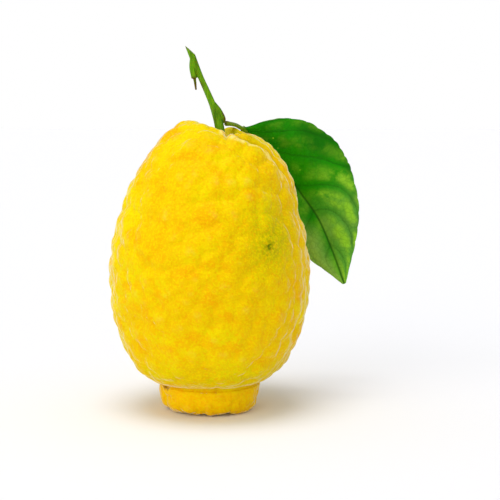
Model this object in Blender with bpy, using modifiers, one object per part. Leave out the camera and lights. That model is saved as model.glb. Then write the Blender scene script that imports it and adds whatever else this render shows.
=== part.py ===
"""A whole citron as picked: the warty fruit stands on its blossom end, with its stalk and one leaf.

The frame is in metres, +Z up. The origin is the centre of the flat spot that the fruit stands on.
The fruit is seen from the front when the viewer looks along +Y, and the leaf hangs behind its right side.
Four solids make it: the fruit, the calyx in its stem cavity, the stalk, and the leaf with its petiole.
Lengths below are in mm and angles in degrees, and every mesh is brought to metres when it is done.
"""

import math
from bisect import bisect
from collections import namedtuple
from itertools import accumulate

import bmesh
import bpy
from mathutils import Vector, noise

MM = 0.001
GAP = 0.3  # clearance where one solid meets the next
COLLECTION_NAME = "citron"
SHARP_EDGE_ANGLE = 50.0

# The fruit is turned from this outline, foot first. shift moves a ring sideways, towards the stem
# cavity, and rings is how many rows of faces lead to the next station.
Station = namedtuple("Station", "radius height shift rings")
FRUIT_OUTLINE = (
    Station(0.0, 0.0, 0.0, 2),
    Station(13.0, 0.0, 0.0, 2),
    Station(20.0, 0.4, 0.0, 2),
    Station(23.3, 2.5, 0.0, 2),
    Station(25.1, 6.7, 0.0, 2),
    Station(25.9, 11.4, 0.0, 1),
    Station(26.0, 13.3, 0.0, 1),
    Station(24.9, 14.3, 0.0, 1),
    Station(27.4, 15.1, 0.0, 2),
    Station(33.8, 18.9, 0.0, 3),
    Station(40.3, 26.4, 0.0, 3),
    Station(45.7, 39.0, 0.0, 6),
    Station(49.4, 54.0, 0.0, 6),
    Station(50.4, 68.0, 0.2, 6),
    Station(49.0, 84.0, 0.2, 6),
    Station(44.8, 101.0, 0.4, 6),
    Station(40.3, 115.6, 1.2, 4),
    Station(34.4, 126.8, 2.2, 3),
    Station(27.5, 134.4, 2.4, 3),
    Station(18.5, 138.4, 3.6, 2),
    Station(12.4, 138.9, 5.8, 1),
    Station(9.4, 137.3, 6.6, 1),
    Station(7.6, 135.0, 6.6, 1),
    Station(6.8, 134.2, 6.6, 2),
    Station(0.0, 134.2, 6.6, 0),
)
FRUIT_SEGMENTS = 84
FOOT_RADIUS, FOOT_EDGE = 13.0, 6.0  # the flat spot, and the way over which the relief begins beside it
CAVITY_CENTRE = Vector((6.6, 1.0))  # where the calyx and the stalk stand
CAVITY_FLOOR = 134.2  # height
CAVITY_RADIUS, CAVITY_RIM_RADIUS = 7.5, 13.0  # the relief begins between them
CROWN_TOP = max(station.height for station in FRUIT_OUTLINE)
GROOVE_HEIGHT, GROOVE_SPREAD = 14.3, 3.0  # the groove that sets off the nipple

# Swellings of the crown round the stem cavity, seen from above.
Lobe = namedtuple("Lobe", "x y lift spread")
CROWN_LOBES = (
    Lobe(-13.0, -2.0, 6.4, 8.0),
    Lobe(-3.0, -12.5, 4.4, 7.5),
    Lobe(16.0, -11.5, 2.4, 5.5),
    Lobe(17.0, 11.0, 0.8, 6.0),
    Lobe(8.5, 14.0, 2.4, 5.5),
    Lobe(-10.0, 13.0, 3.0, 7.0),
)
LOBES_BEGIN, LOBES_FULL = 112.0, 134.0  # heights between which the lobes come up
# Furrows that run out of the stem cavity and down the shoulder. path holds the way gone from the
# stalk and the azimuth there. lip is how high the skin rises along the side of the smaller azimuth,
# and end is the way after which the furrow is gone.
Furrow = namedtuple("Furrow", "path depth width lip end")
FRONT_FURROW_PATH = ((12.0, -60.0), (22.0, -52.0), (29.0, -38.0), (36.0, -25.0), (56.0, -18.0), (96.0, -8.0))
CROWN_FURROWS = (
    Furrow(((8.0, -72.0), (40.0, -75.0)), 2.2, 1.4, 0.2, 38.0),
    Furrow(FRONT_FURROW_PATH, 1.8, 2.1, 0.5, 104.0),
    Furrow(((8.0, 98.0), (42.0, 71.0), (90.0, 76.0)), 2.2, 3.0, 0.4, 90.0),
    Furrow(((8.0, 118.0), (80.0, 128.0)), 2.0, 2.8, 0.3, 76.0),
    Furrow(((8.0, 168.0), (90.0, 160.0)), 1.8, 3.0, 0.4, 80.0),
)
FURROW_FULL_SHARE = 0.3  # share of its way after which a furrow grows shallower
FURROW_BEGIN = 11.0  # way from the stalk at which the furrows have their depth
LIP_PLACE = 2.2  # furrow widths from the furrow's middle to the top of its lip
# Small hollows of the skin. across and along are how far each reaches round the fruit and up it, and a
# depth below 0 makes a swelling.
Hollow = namedtuple("Hollow", "azimuth height depth across along")
SKIN_HOLLOWS = (
    Hollow(-2.0, 113.5, -1.5, 8.0, 5.5),
    Hollow(-46.6, 113.6, 1.3, 2.9, 1.3),
    Hollow(-3.0, 119.5, 1.0, 7.0, 2.4),
    Hollow(-3.0, 100.5, 1.4, 8.0, 3.2),
    Hollow(178.0, 124.0, 1.2, 5.0, 2.5),
    Hollow(-52.0, 84.0, 0.8, 2.4, 2.4),
    Hollow(-149.0, 13.6, 1.2, 2.4, 1.3),
    Hollow(-81.0, 14.5, 0.8, 1.4, 1.2),
    Hollow(180.0, 2.0, -0.6, 9.0, 3.0),
    Hollow(-96.0, 0.8, 1.0, 1.4, 3.0),
    Hollow(60.0, 14.6, 1.4, 2.4, 2.4),
    Hollow(110.0, 64.0, 1.0, 4.0, 4.0),
    Hollow(-160.0, 90.0, 0.8, 4.2, 4.2),
)

SWELL_SIZE, SWELL_HEIGHT = 34.0, 0.9  # broad unevenness of the whole fruit
LUMP_SIZE, LUMP_HEIGHT, LUMP_LEVEL = 8.6, 2.5, 0.2  # rounded lumps of the rind; level keeps their mean at 0
GROOVE_CALM = 0.7  # share of the lumps that is missing in the groove
RIB_COUNT, RIB_HEIGHT, RIB_PHASE = 7, 0.35, 34.0  # soft lengthwise ribs
RIBS_BEGIN, RIBS_FULL = 20.0, 60.0  # heights
PUCKER_COUNT, PUCKER_DEPTH, PUCKER_WOBBLE = 9, 0.35, 20.0  # creases round the foot
PUCKERS_FULL, PUCKERS_END = 4.0, 11.0  # heights

CALYX_RADIUS, CALYX_THICKNESS = 5.2, 1.3
CALYX_LOBES, CALYX_LOBE_REACH = 5, 0.9
CALYX_SEGMENTS, CALYX_RINGS = 40, 8
CALYX_FLATNESS = 1.6  # above 1 the button has a flat top and underside

# The stalk's line from the calyx to the cut.
StemPoint = namedtuple("StemPoint", "x y z radius")
STALK_LINE = (
    StemPoint(6.6, 1.0, 134.8, 3.1),
    StemPoint(6.0, 1.0, 138.2, 2.5),
    StemPoint(5.2, 1.2, 143.4, 2.3),
    StemPoint(3.4, 1.4, 149.9, 2.0),
    StemPoint(1.4, 1.6, 155.2, 1.65),
    StemPoint(-1.2, 1.8, 161.2, 1.5),
    StemPoint(-3.8, 2.0, 167.0, 1.4),
    StemPoint(-6.0, 2.2, 172.4, 1.5),
    StemPoint(-7.8, 2.4, 177.0, 1.6),
    StemPoint(-10.6, 2.6, 184.6, 1.6),
)
STALK_CUT_POINT = Vector((-9.4, 2.5, 180.8))  # the middle of the slanted cut
STALK_CUT_NORMAL = Vector((0.66, -0.1, 0.75))
# The swollen leaf base, low on the stalk's right side.
NODE_LINE = (
    StemPoint(2.6, 1.6, 154.6, 0.9),
    StemPoint(5.0, 1.9, 150.4, 1.6),
    StemPoint(6.6, 2.3, 147.0, 1.7),
    StemPoint(7.2, 2.6, 144.9, 1.2),
)
# The broken leaf base, high on the left side, and the dry point that hangs from it.
STUB_LINE = (
    StemPoint(-8.5, 2.3, 177.2, 0.9),
    StemPoint(-8.1, 2.1, 172.0, 1.6),
    StemPoint(-7.2, 2.0, 167.0, 1.5),
)
STUB_TIP_LINE = (
    StemPoint(-7.2, 2.0, 167.8, 0.8),
    StemPoint(-6.8, 2.0, 164.6, 0.65),
    StemPoint(-6.4, 2.0, 161.2, 0.45),
)
STALK_STEPS, TWIG_STEPS, PETIOLE_STEPS = 2, 3, 2  # rings from one point of the line to the next
TUBE_RESOLUTION = 4  # twelve sides

PETIOLE_LINE = (
    StemPoint(9.0, 3.6, 144.4, 1.25),
    StemPoint(11.0, 7.2, 144.0, 1.05),
    StemPoint(13.2, 12.8, 143.3, 1.0),
    StemPoint(15.6, 18.6, 141.8, 1.05),
    StemPoint(18.4, 23.8, 139.8, 1.1),
    StemPoint(21.4, 26.8, 137.0, 0.9),
)
# The leaf's midrib from the petiole to the tip. facing is the azimuth, from +Y towards +X, to
# which the blade's underside looks.
MidribPoint = namedtuple("MidribPoint", "x y z facing")
MIDRIB_LINE = (
    MidribPoint(16.9, 22.2, 141.2, 26.0),
    MidribPoint(29.9, 33.0, 129.2, 23.0),
    MidribPoint(39.9, 38.0, 117.2, 20.0),
    MidribPoint(47.5, 39.4, 106.4, 16.0),
    MidribPoint(56.8, 40.6, 92.9, 13.0),
    MidribPoint(64.3, 38.6, 75.9, 10.0),
    MidribPoint(70.5, 33.6, 58.9, 8.0),
)
BLADE_ROWS_PER_SPAN, BLADE_COLUMNS = 12, 12
BLADE_CROWDING = 1.6  # above 1 the columns crowd together at the midrib
BLADE_HALF_WIDTH = 31.0  # at the widest
# The blade's half width from base to tip, as shares of its length and of its widest half width.
BLADE_OUTLINE = (
    (0.0, 0.03),
    (0.035, 0.36),
    (0.11, 0.7),
    (0.2, 0.9),
    (0.36, 1.0),
    (0.5, 0.97),
    (0.64, 0.81),
    (0.82, 0.46),
    (0.93, 0.19),
    (1.0, 0.03),
)
BLADE_THICKNESS = 0.8
MIDRIB_THICKNESS, MIDRIB_HALF_WIDTH, MIDRIB_TAPER = 2.0, 1.3, 0.75
BLADE_FOLD, BLADE_ROLL, ROLL_POWER = 6.0, 9.0, 2.5  # rise beside the midrib and fall at the margin
TOOTH_COUNT, TOOTH_DEPTH, TOOTH_POWER, TOOTH_LEVEL = 18, 0.5, 0.6, 0.7
VEIN_PAIRS, VEIN_DEPTH, VEIN_POWER = 5, 1.0, 0.7
VEIN_SLANT, VEIN_ARCH = 0.95, 0.7  # how far the side veins lean to the tip, evenly and ever more
VEIN_WOBBLE, WOBBLES = 0.35, 3.0  # how far a side vein strays, and how often along the blade
QUILT_BEGIN = 4.0  # how steeply the quilting comes up beside the midrib


def clear_scene():
    """Removes everything that the startup scene holds."""
    for obj in list(bpy.data.objects):
        bpy.data.objects.remove(obj)


def linear(code):
    """A hex colour as linear red, green, blue and alpha."""
    parts = [int(code[i : i + 2], 16) / 255 for i in (1, 3, 5)]
    return [c / 12.92 if c <= 0.04045 else ((c + 0.055) / 1.055) ** 2.4 for c in parts] + [1.0]


def material(name, colour, roughness):
    """A plain Principled material."""
    made = bpy.data.materials.new(name)
    made.use_nodes = True
    shader = made.node_tree.nodes["Principled BSDF"]
    shader.inputs["Base Color"].default_value = linear(colour)
    shader.inputs["Roughness"].default_value = roughness
    made.diffuse_color = linear(colour)
    return made


def smooth_step(low, high, value):
    """0 below low, 1 above high, smooth between."""
    share = min(1.0, max(0.0, (value - low) / (high - low)))
    return share * share * (3.0 - 2.0 * share)


def degrees_apart(a, b):
    """The smallest turn from b to a, with its sign."""
    return (a - b + 180.0) % 360.0 - 180.0


def monotone_curve(knots, values):
    """A smooth function through the values at the knots that never overshoots them."""
    slopes = [(b - a) / (q - p) for a, b, p, q in zip(values, values[1:], knots, knots[1:])]
    inner = [0.0 if a * b <= 0 else 2 * a * b / (a + b) for a, b in zip(slopes, slopes[1:])]
    tangents = [slopes[0], *inner, slopes[-1]]

    def value(place):
        k = min(max(bisect(knots, place) - 1, 0), len(slopes) - 1)
        span = knots[k + 1] - knots[k]
        t = min(1.0, max(0.0, (place - knots[k]) / span))
        start = (2 * t**3 - 3 * t**2 + 1) * values[k] + (t**3 - 2 * t**2 + t) * span * tangents[k]
        end = (3 * t**2 - 2 * t**3) * values[k + 1] + (t**3 - t**2) * span * tangents[k + 1]
        return start + end

    return value


def smooth_path(rows, counts):
    """Rows of values on a smooth curve through the given rows, whose first three values are a place.

    counts says how many steps lead from each row to the next.
    """
    knots = list(accumulate((math.dist(a[:3], b[:3]) for a, b in zip(rows, rows[1:])), initial=0.0))
    curves = [monotone_curve(knots, column) for column in zip(*rows)]
    stops = [a + (b - a) * k / n for a, b, n in zip(knots, knots[1:], counts) for k in range(n)]
    return [[curve(stop) for curve in curves] for stop in (*stops, knots[-1])]


def metre_mesh(name, bm):
    """A mesh in metres from a bmesh in mm, split into triangles."""
    bmesh.ops.scale(bm, vec=(MM, MM, MM), verts=bm.verts)
    bmesh.ops.triangulate(bm, faces=bm.faces)
    mesh = bpy.data.meshes.new(name)
    bm.to_mesh(mesh)
    bm.free()
    return mesh


def as_object(name, data):
    """A new object in the scene that holds the data."""
    obj = bpy.data.objects.new(name, data)
    bpy.context.scene.collection.objects.link(obj)
    return obj


def applied_mesh(obj):
    """The object's mesh with its modifiers applied. The object is removed."""
    bpy.context.view_layer.update()
    mesh = bpy.data.meshes.new_from_object(obj.evaluated_get(bpy.context.evaluated_depsgraph_get()))
    bpy.data.objects.remove(obj)
    return mesh


def add_node(name, mesh, look, parts):
    """Puts a mesh into the part's collection as a smooth-shaded node with its material."""
    obj = bpy.data.objects.new(name, mesh)
    parts.objects.link(obj)
    mesh.materials.clear()
    mesh.materials.append(look)
    mesh.shade_smooth()
    mesh.set_sharp_from_angle(angle=math.radians(SHARP_EDGE_ANGLE))


# The fruit


def crown_lift(x, y, height):
    """How far the crown's lobes raise the skin."""
    lift = sum(
        lobe.lift * math.exp(-((x - lobe.x) ** 2 + (y - lobe.y) ** 2) / (2 * lobe.spread**2))
        for lobe in CROWN_LOBES
    )
    from_stalk = math.dist((x, y), CAVITY_CENTRE)
    lift *= smooth_step(LOBES_BEGIN, LOBES_FULL, height)
    return lift * smooth_step(CAVITY_RADIUS, CAVITY_RIM_RADIUS, from_stalk)


def furrow_depth(azimuth, radius, height):
    """How deep the crown's furrows cut here. On their raised lips it is below 0."""
    way = radius + CROWN_TOP - height
    depth = 0.0
    for furrow in CROWN_FURROWS:
        middle = monotone_curve(*zip(*furrow.path))
        slant = math.radians(middle(way + 1.0) - middle(way)) * radius
        aside = math.radians(degrees_apart(azimuth, middle(way))) * radius / math.hypot(1.0, slant)
        aside /= furrow.width
        groove = furrow.depth * math.exp(-(aside**2))
        lip = furrow.lip * math.exp(-((aside + LIP_PLACE) ** 2))
        fade = 1.0 - smooth_step(FURROW_FULL_SHARE * furrow.end, furrow.end, way)
        depth += (groove - lip) * fade
    return depth * smooth_step(CAVITY_RADIUS, FURROW_BEGIN, radius)


def hollow_depth(azimuth, radius, height):
    """How deep the small hollows of the skin are here."""
    depth = 0.0
    for hollow in SKIN_HOLLOWS:
        aside = math.radians(degrees_apart(azimuth, hollow.azimuth)) * radius / hollow.across
        upward = (height - hollow.height) / hollow.along
        depth += hollow.depth * math.exp(-(aside**2 + upward**2) / 2)
    return depth


def rind_relief(place, azimuth, radius):
    """How far the skin stands out from the turned and lobed outline."""
    height = place.z
    turn = math.radians(azimuth)
    swell = SWELL_HEIGHT * noise.noise(place / SWELL_SIZE)
    to_lump = noise.voronoi(place / LUMP_SIZE)[0][0]
    calm = GROOVE_CALM * math.exp(-(((height - GROOVE_HEIGHT) / GROOVE_SPREAD) ** 2))
    lump = LUMP_HEIGHT * (LUMP_LEVEL - to_lump**2) * (1.0 - calm)
    rib = RIB_HEIGHT * math.cos(RIB_COUNT * turn + math.radians(RIB_PHASE))
    rib *= smooth_step(RIBS_BEGIN, RIBS_FULL, height)
    crease_turn = 0.5 * PUCKER_COUNT * turn + math.radians(PUCKER_WOBBLE) * math.sin(3 * turn)
    pucker = PUCKER_DEPTH * (1.0 - abs(math.cos(crease_turn))) ** 2
    pucker *= 1.0 - smooth_step(PUCKERS_FULL, PUCKERS_END, height)
    relief = swell + lump + rib - pucker
    relief -= furrow_depth(azimuth, radius, height) + hollow_depth(azimuth, radius, height)
    if height < GROOVE_HEIGHT:
        return relief * smooth_step(FOOT_RADIUS, FOOT_RADIUS + FOOT_EDGE, radius)
    return relief * smooth_step(CAVITY_RADIUS, CAVITY_RIM_RADIUS, radius)


def build_fruit(look, parts):
    """The citron: a ball of rings laid on the outline, then raised and furrowed by the rind's formula."""
    rings = smooth_path([s[:3] for s in FRUIT_OUTLINE], [s.rings for s in FRUIT_OUTLINE])
    last = len(rings) - 1
    bm = bmesh.new()
    bmesh.ops.create_uvsphere(bm, u_segments=FRUIT_SEGMENTS, v_segments=last, radius=1.0)
    polar = []
    for vert in bm.verts:
        latitude = math.asin(max(-1.0, min(1.0, vert.co.z)))
        radius, height, shift = rings[round((latitude / math.pi + 0.5) * last)]
        turn = math.atan2(vert.co.y, vert.co.x)
        polar.append((math.degrees(turn), radius))
        centre = CAVITY_CENTRE * (shift / CAVITY_CENTRE.x)
        x = centre.x + radius * math.cos(turn)
        y = centre.y + radius * math.sin(turn)
        vert.co = Vector((x, y, height + crown_lift(x, y, height)))
    bm.normal_update()
    for vert, (azimuth, radius) in zip(bm.verts, polar):
        vert.co += vert.normal * rind_relief(vert.co, azimuth, radius)
        vert.co.z = max(vert.co.z, 0.0)
    add_node("fruit", metre_mesh("fruit", bm), look, parts)


# The calyx


def build_calyx(look, parts):
    """The five-lobed button that holds the fruit to its stalk, on the floor of the stem cavity."""
    bm = bmesh.new()
    bmesh.ops.create_uvsphere(bm, u_segments=CALYX_SEGMENTS, v_segments=CALYX_RINGS, radius=1.0)
    for vert in bm.verts:
        turn = math.atan2(vert.co.y, vert.co.x)
        outward = math.hypot(vert.co.x, vert.co.y)
        lobe = abs(math.cos(0.5 * CALYX_LOBES * turn)) - 0.5
        reach = outward * (CALYX_RADIUS + CALYX_LOBE_REACH * lobe * outward)
        level = max(-1.0, min(1.0, CALYX_FLATNESS * vert.co.z))
        x = CAVITY_CENTRE.x + reach * math.cos(turn)
        y = CAVITY_CENTRE.y + reach * math.sin(turn)
        vert.co = Vector((x, y, CAVITY_FLOOR + GAP + 0.5 * CALYX_THICKNESS * (1.0 + level)))
    add_node("calyx", metre_mesh("calyx", bm), look, parts)


# The stalk


def tube(name, line, steps):
    """A tapering round twig along a smooth line, as a closed mesh object."""
    rows = smooth_path(line, [steps] * (len(line) - 1))
    curve = bpy.data.curves.new(name, "CURVE")
    curve.dimensions = "3D"
    curve.bevel_depth = MM
    curve.bevel_resolution = TUBE_RESOLUTION
    curve.use_fill_caps = True
    spline = curve.splines.new("POLY")
    spline.points.add(len(rows) - 1)
    for point, (x, y, z, radius) in zip(spline.points, rows):
        point.co = (x * MM, y * MM, z * MM, 1.0)
        point.radius = radius
    mesh = applied_mesh(as_object(name + "_line", curve))
    bm = bmesh.new()
    bm.from_mesh(mesh)
    bmesh.ops.remove_doubles(bm, verts=bm.verts, dist=MM * MM)
    bmesh.ops.recalc_face_normals(bm, faces=bm.faces)
    bm.to_mesh(mesh)
    bm.free()
    return as_object(name, mesh)


def trim(obj, point, normal):
    """Cuts off what lies beyond a plane and closes the cut."""
    bm = bmesh.new()
    bm.from_mesh(obj.data)
    geometry = [*bm.verts, *bm.edges, *bm.faces]
    cut = bmesh.ops.bisect_plane(bm, geom=geometry, plane_co=point * MM, plane_no=normal, clear_outer=True)
    rim = [item for item in cut["geom_cut"] if isinstance(item, bmesh.types.BMEdge)]
    bmesh.ops.edgeloop_fill(bm, edges=rim)
    bmesh.ops.recalc_face_normals(bm, faces=bm.faces)
    bm.to_mesh(obj.data)
    bm.free()


def fused(base, others):
    """The Boolean union of base and the others as one mesh. All the objects are removed."""
    for other in others:
        join = base.modifiers.new("join_" + other.name, "BOOLEAN")
        join.operation = "UNION"
        join.solver = "EXACT"
        join.object = other
    mesh = applied_mesh(base)
    for other in others:
        bpy.data.objects.remove(other)
    return mesh


def build_stalk(look, parts):
    """The green fruit stalk with its slanted cut, its swollen leaf base and the stub of a lost leaf."""
    stalk = tube("stalk_rod", STALK_LINE, STALK_STEPS)
    foot = Vector((0.0, 0.0, CAVITY_FLOOR + CALYX_THICKNESS + 2 * GAP))
    trim(stalk, STALK_CUT_POINT, STALK_CUT_NORMAL)
    trim(stalk, foot, Vector((0.0, 0.0, -1.0)))
    swellings = [
        tube("stalk_node", NODE_LINE, TWIG_STEPS),
        tube("stalk_stub", STUB_LINE, TWIG_STEPS),
        tube("stalk_stub_tip", STUB_TIP_LINE, TWIG_STEPS),
    ]
    add_node("stalk", fused(stalk, swellings), look, parts)


# The leaf


def half_width(along):
    """The blade's half width, with the teeth of its margin. along runs from 0 at the base to 1 at the tip."""
    share = monotone_curve(*zip(*BLADE_OUTLINE))(along)
    tooth = abs(math.sin(math.pi * TOOTH_COUNT * along)) ** TOOTH_POWER - TOOTH_LEVEL
    return BLADE_HALF_WIDTH * share + TOOTH_DEPTH * tooth * min(1.0, 2.0 * share)


def midrib_frames():
    """Place, cross direction and upward direction of the blade at each of its rows."""
    rows = smooth_path(MIDRIB_LINE, [BLADE_ROWS_PER_SPAN] * (len(MIDRIB_LINE) - 1))
    frames = []
    for k, (x, y, z, facing) in enumerate(rows):
        ahead = Vector(rows[min(k + 1, len(rows) - 1)][:3])
        behind = Vector(rows[max(k - 1, 0)][:3])
        along = (ahead - behind).normalized()
        outward = Vector((math.sin(math.radians(facing)), math.cos(math.radians(facing)), 0.0))
        across = along.cross(outward).normalized()
        frames.append((Vector((x, y, z)), across, along.cross(across).normalized()))
    return frames


def blade_rise(along, side):
    """How far the blade rises above the midrib's line. side runs from -1 to 1 across it."""
    spread = abs(side)
    fold = BLADE_FOLD * spread - BLADE_ROLL * spread**ROLL_POWER
    vein = VEIN_PAIRS * along - VEIN_SLANT * spread - VEIN_ARCH * spread**3
    vein += VEIN_WOBBLE * noise.noise(Vector((along, 0.5 * side, 0.0)) * WOBBLES)
    quilt = abs(math.sin(math.pi * vein)) ** VEIN_POWER - 0.5
    narrow = half_width(along) / BLADE_HALF_WIDTH
    return (fold + VEIN_DEPTH * quilt * min(1.0, QUILT_BEGIN * spread)) * narrow


def build_leaf(look, parts):
    """The leaf: a toothed, quilted blade with a thick midrib below, grown on to its petiole."""
    frames = midrib_frames()
    rows = len(frames) - 1
    bm = bmesh.new()
    bmesh.ops.create_grid(bm, x_segments=rows, y_segments=BLADE_COLUMNS, size=1.0)
    thickness = []
    for vert in bm.verts:
        along = 0.5 * (vert.co.x + 1.0)
        side = math.copysign(abs(vert.co.y) ** BLADE_CROWDING, vert.co.y)
        place, across, upward = frames[round(along * rows)]
        from_midrib = side * half_width(along)
        vert.co = place + across * from_midrib + upward * blade_rise(along, side)
        rib = math.exp(-((from_midrib / MIDRIB_HALF_WIDTH) ** 2)) * (1.0 - MIDRIB_TAPER * along)
        thickness.append(BLADE_THICKNESS + (MIDRIB_THICKNESS - BLADE_THICKNESS) * rib)
    blade = as_object("blade", metre_mesh("blade", bm))
    group = blade.vertex_groups.new(name="thickness")
    for index, thick in enumerate(thickness):
        group.add([index], thick / MIDRIB_THICKNESS, "REPLACE")
    solid = blade.modifiers.new("thickness", "SOLIDIFY")
    solid.thickness = MIDRIB_THICKNESS * MM
    solid.offset = -1.0
    solid.vertex_group = group.name
    body = as_object("blade_body", applied_mesh(blade))
    petiole = tube("petiole", PETIOLE_LINE, PETIOLE_STEPS)
    add_node("leaf", fused(body, [petiole]), look, parts)


def main():
    """Builds the citron's four solids."""
    clear_scene()
    parts = bpy.data.collections.new(COLLECTION_NAME)
    bpy.context.scene.collection.children.link(parts)
    build_fruit(material("citron_rind", "#F5C803", 0.42), parts)
    build_calyx(material("calyx_green", "#7C8B2E", 0.6), parts)
    build_stalk(material("stalk_green", "#64891A", 0.5), parts)
    build_leaf(material("leaf_green", "#3C860E", 0.35), parts)


main()
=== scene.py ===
"""The looks of a whole citron as picked: the warty fruit with its calyx, its cut stalk and one leaf.

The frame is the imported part's: metres, +Z up, the origin under the fruit. Lengths below are in mm and
angles in degrees, and a mesh is brought to metres when it is done. The fruit's outline and crown, the
stalk's line and the leaf's line are the part's own, so each piece keeps the form of the node that it
replaces, and the finer relief, the veins and the colours are added here.
"""

import logging
import math
from bisect import bisect
from collections.abc import Sequence
from dataclasses import dataclass, field
from enum import Enum
from itertools import accumulate
from typing import ClassVar

import bmesh
import bpy
from mathutils import Euler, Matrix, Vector, noise


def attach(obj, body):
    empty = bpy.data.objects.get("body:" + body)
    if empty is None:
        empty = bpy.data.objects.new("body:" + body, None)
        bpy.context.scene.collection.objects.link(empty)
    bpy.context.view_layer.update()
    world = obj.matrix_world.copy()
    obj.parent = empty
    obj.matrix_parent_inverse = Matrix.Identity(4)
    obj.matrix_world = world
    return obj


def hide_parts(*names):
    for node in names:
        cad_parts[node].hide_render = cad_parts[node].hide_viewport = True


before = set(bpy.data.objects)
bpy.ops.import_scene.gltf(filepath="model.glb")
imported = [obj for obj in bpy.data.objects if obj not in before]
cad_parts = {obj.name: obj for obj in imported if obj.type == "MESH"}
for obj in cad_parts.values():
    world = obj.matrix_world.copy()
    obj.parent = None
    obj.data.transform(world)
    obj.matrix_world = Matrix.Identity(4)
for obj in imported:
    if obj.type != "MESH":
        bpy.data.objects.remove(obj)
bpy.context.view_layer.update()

LOG = logging.getLogger("citron")
MM = 0.001
BODY = "root"
STEM_MASKS = ("brown", "shade")
# The setting that gives a mask a soft edge
SOFT = {"interpolation_type": "SMOOTHSTEP"}

Colour = tuple[float, float, float, float]
Place = tuple[float, float, float]
Span = tuple[float, float]
Piece = bpy.types.Object
Socket = bpy.types.NodeSocket
Inputs = dict[str | int, object]

# How far the bark has turned to its dark side where the shade mask begins and where it is full
STEM_SHADE: Span = (0.2, 1.0)


class Slot(Enum):
    """The record's material slots."""

    RIND = "citron_rind"
    CALYX = "calyx_green"
    STALK = "stalk_green"
    LEAF = "leaf_green"


# Curves and meshes


def smooth_step(low: float, high: float, value: float) -> float:
    """Gives 0 below low, 1 above high and a smooth rise between."""
    share = min(1.0, max(0.0, (value - low) / (high - low)))
    return share * share * (3.0 - 2.0 * share)


def degrees_apart(a: float, b: float) -> float:
    """Gives the smallest turn from b to a, with its sign."""
    return (a - b + 180.0) % 360.0 - 180.0


class SmoothCurve:
    """A smooth function through the values at its knots that never overshoots them."""

    def __init__(self, knots: Sequence[float], values: Sequence[float]) -> None:
        """Works out the slope at each knot.

        Args:
            knots: the places where the curve is known, in rising order.
            values: the curve's value at each knot.
        """
        self.knots = list(knots)
        self.values = list(values)
        slopes = [(b - a) / (q - p) for a, b, p, q in zip(values, values[1:], knots, knots[1:])]
        inner = [0.0 if a * b <= 0 else 2 * a * b / (a + b) for a, b in zip(slopes, slopes[1:])]
        self.tangents = [slopes[0], *inner, slopes[-1]]

    def __call__(self, place: float) -> float:
        """Gives the curve's value at a place, and the end value beyond its ends."""
        k = min(max(bisect(self.knots, place) - 1, 0), len(self.knots) - 2)
        span = self.knots[k + 1] - self.knots[k]
        t = min(1.0, max(0.0, (place - self.knots[k]) / span))
        start = (2 * t**3 - 3 * t**2 + 1) * self.values[k] + (t**3 - 2 * t**2 + t) * span * self.tangents[k]
        end = (3 * t**2 - 2 * t**3) * self.values[k + 1] + (t**3 - t**2) * span * self.tangents[k + 1]
        return start + end


def smooth_path(rows: Sequence[Sequence[float]], counts: Sequence[int]) -> list[list[float]]:
    """Lays rows of values on a smooth curve through the given rows.

    Args:
        rows: the rows, whose first three values are a place.
        counts: how many steps lead from each row to the next.

    Returns:
        The rows at every step, with the last given row at the end.
    """
    knots = list(accumulate((math.dist(a[:3], b[:3]) for a, b in zip(rows, rows[1:])), initial=0.0))
    curves = [SmoothCurve(knots, column) for column in zip(*rows)]
    stops = [a + (b - a) * k / n for a, b, n in zip(knots, knots[1:], counts) for k in range(n)]
    return [[curve(stop) for curve in curves] for stop in (*stops, knots[-1])]


def as_object(name: str, bm: bmesh.types.BMesh, scale: float = MM) -> Piece:
    """Turns a bmesh into a smooth-shaded object in the scene, and frees the bmesh.

    Args:
        name: the piece's name.
        bm: the bmesh.
        scale: what its lengths are multiplied by.

    Returns:
        The new object.
    """
    bmesh.ops.scale(bm, vec=(scale, scale, scale), verts=bm.verts)
    mesh = bpy.data.meshes.new(name)
    bm.to_mesh(mesh)
    bm.free()
    mesh.shade_smooth()
    obj = bpy.data.objects.new(name, mesh)
    bpy.context.scene.collection.objects.link(obj)
    return obj


def with_modifiers(obj: Piece) -> bmesh.types.BMesh:
    """Takes an object out of the scene and gives its mesh, modifiers applied, as a bmesh."""
    bpy.context.view_layer.update()
    mesh = bpy.data.meshes.new_from_object(obj.evaluated_get(bpy.context.evaluated_depsgraph_get()))
    bpy.data.objects.remove(obj)
    bm = bmesh.new()
    bm.from_mesh(mesh)
    return bm


# Colours and nodes


def linear(code: str) -> Colour:
    """Turns an sRGB hex colour to linear red, green, blue and alpha."""
    parts = [int(code[i : i + 2], 16) / 255 for i in (1, 3, 5)]
    red, green, blue = (c / 12.92 if c <= 0.04045 else ((c + 0.055) / 1.055) ** 2.4 for c in parts)
    return red, green, blue, 1.0


def add_node(tree: bpy.types.NodeTree, kind: str, inputs: Inputs, **settings: object) -> bpy.types.Node:
    """Adds a shader node with its settings and links.

    Args:
        tree: the node tree.
        kind: the node's type without its ShaderNode beginning.
        inputs: for an input's name or number, its value or the socket that feeds it.
        settings: the node's own settings.

    Returns:
        The new node.
    """
    node = tree.nodes.new("ShaderNode" + kind)
    for name, setting in settings.items():
        setattr(node, name, setting)
    for socket, source in inputs.items():
        if isinstance(source, bpy.types.NodeSocket):
            tree.links.new(source, node.inputs[socket])
        else:
            node.inputs[socket].default_value = source
    return node


@dataclass(frozen=True)
class Wash:
    """A coat of colour over those below it: its strength, and the masks that it keeps to."""

    colour: str
    strength: float
    masks: tuple[Socket, ...]


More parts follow.
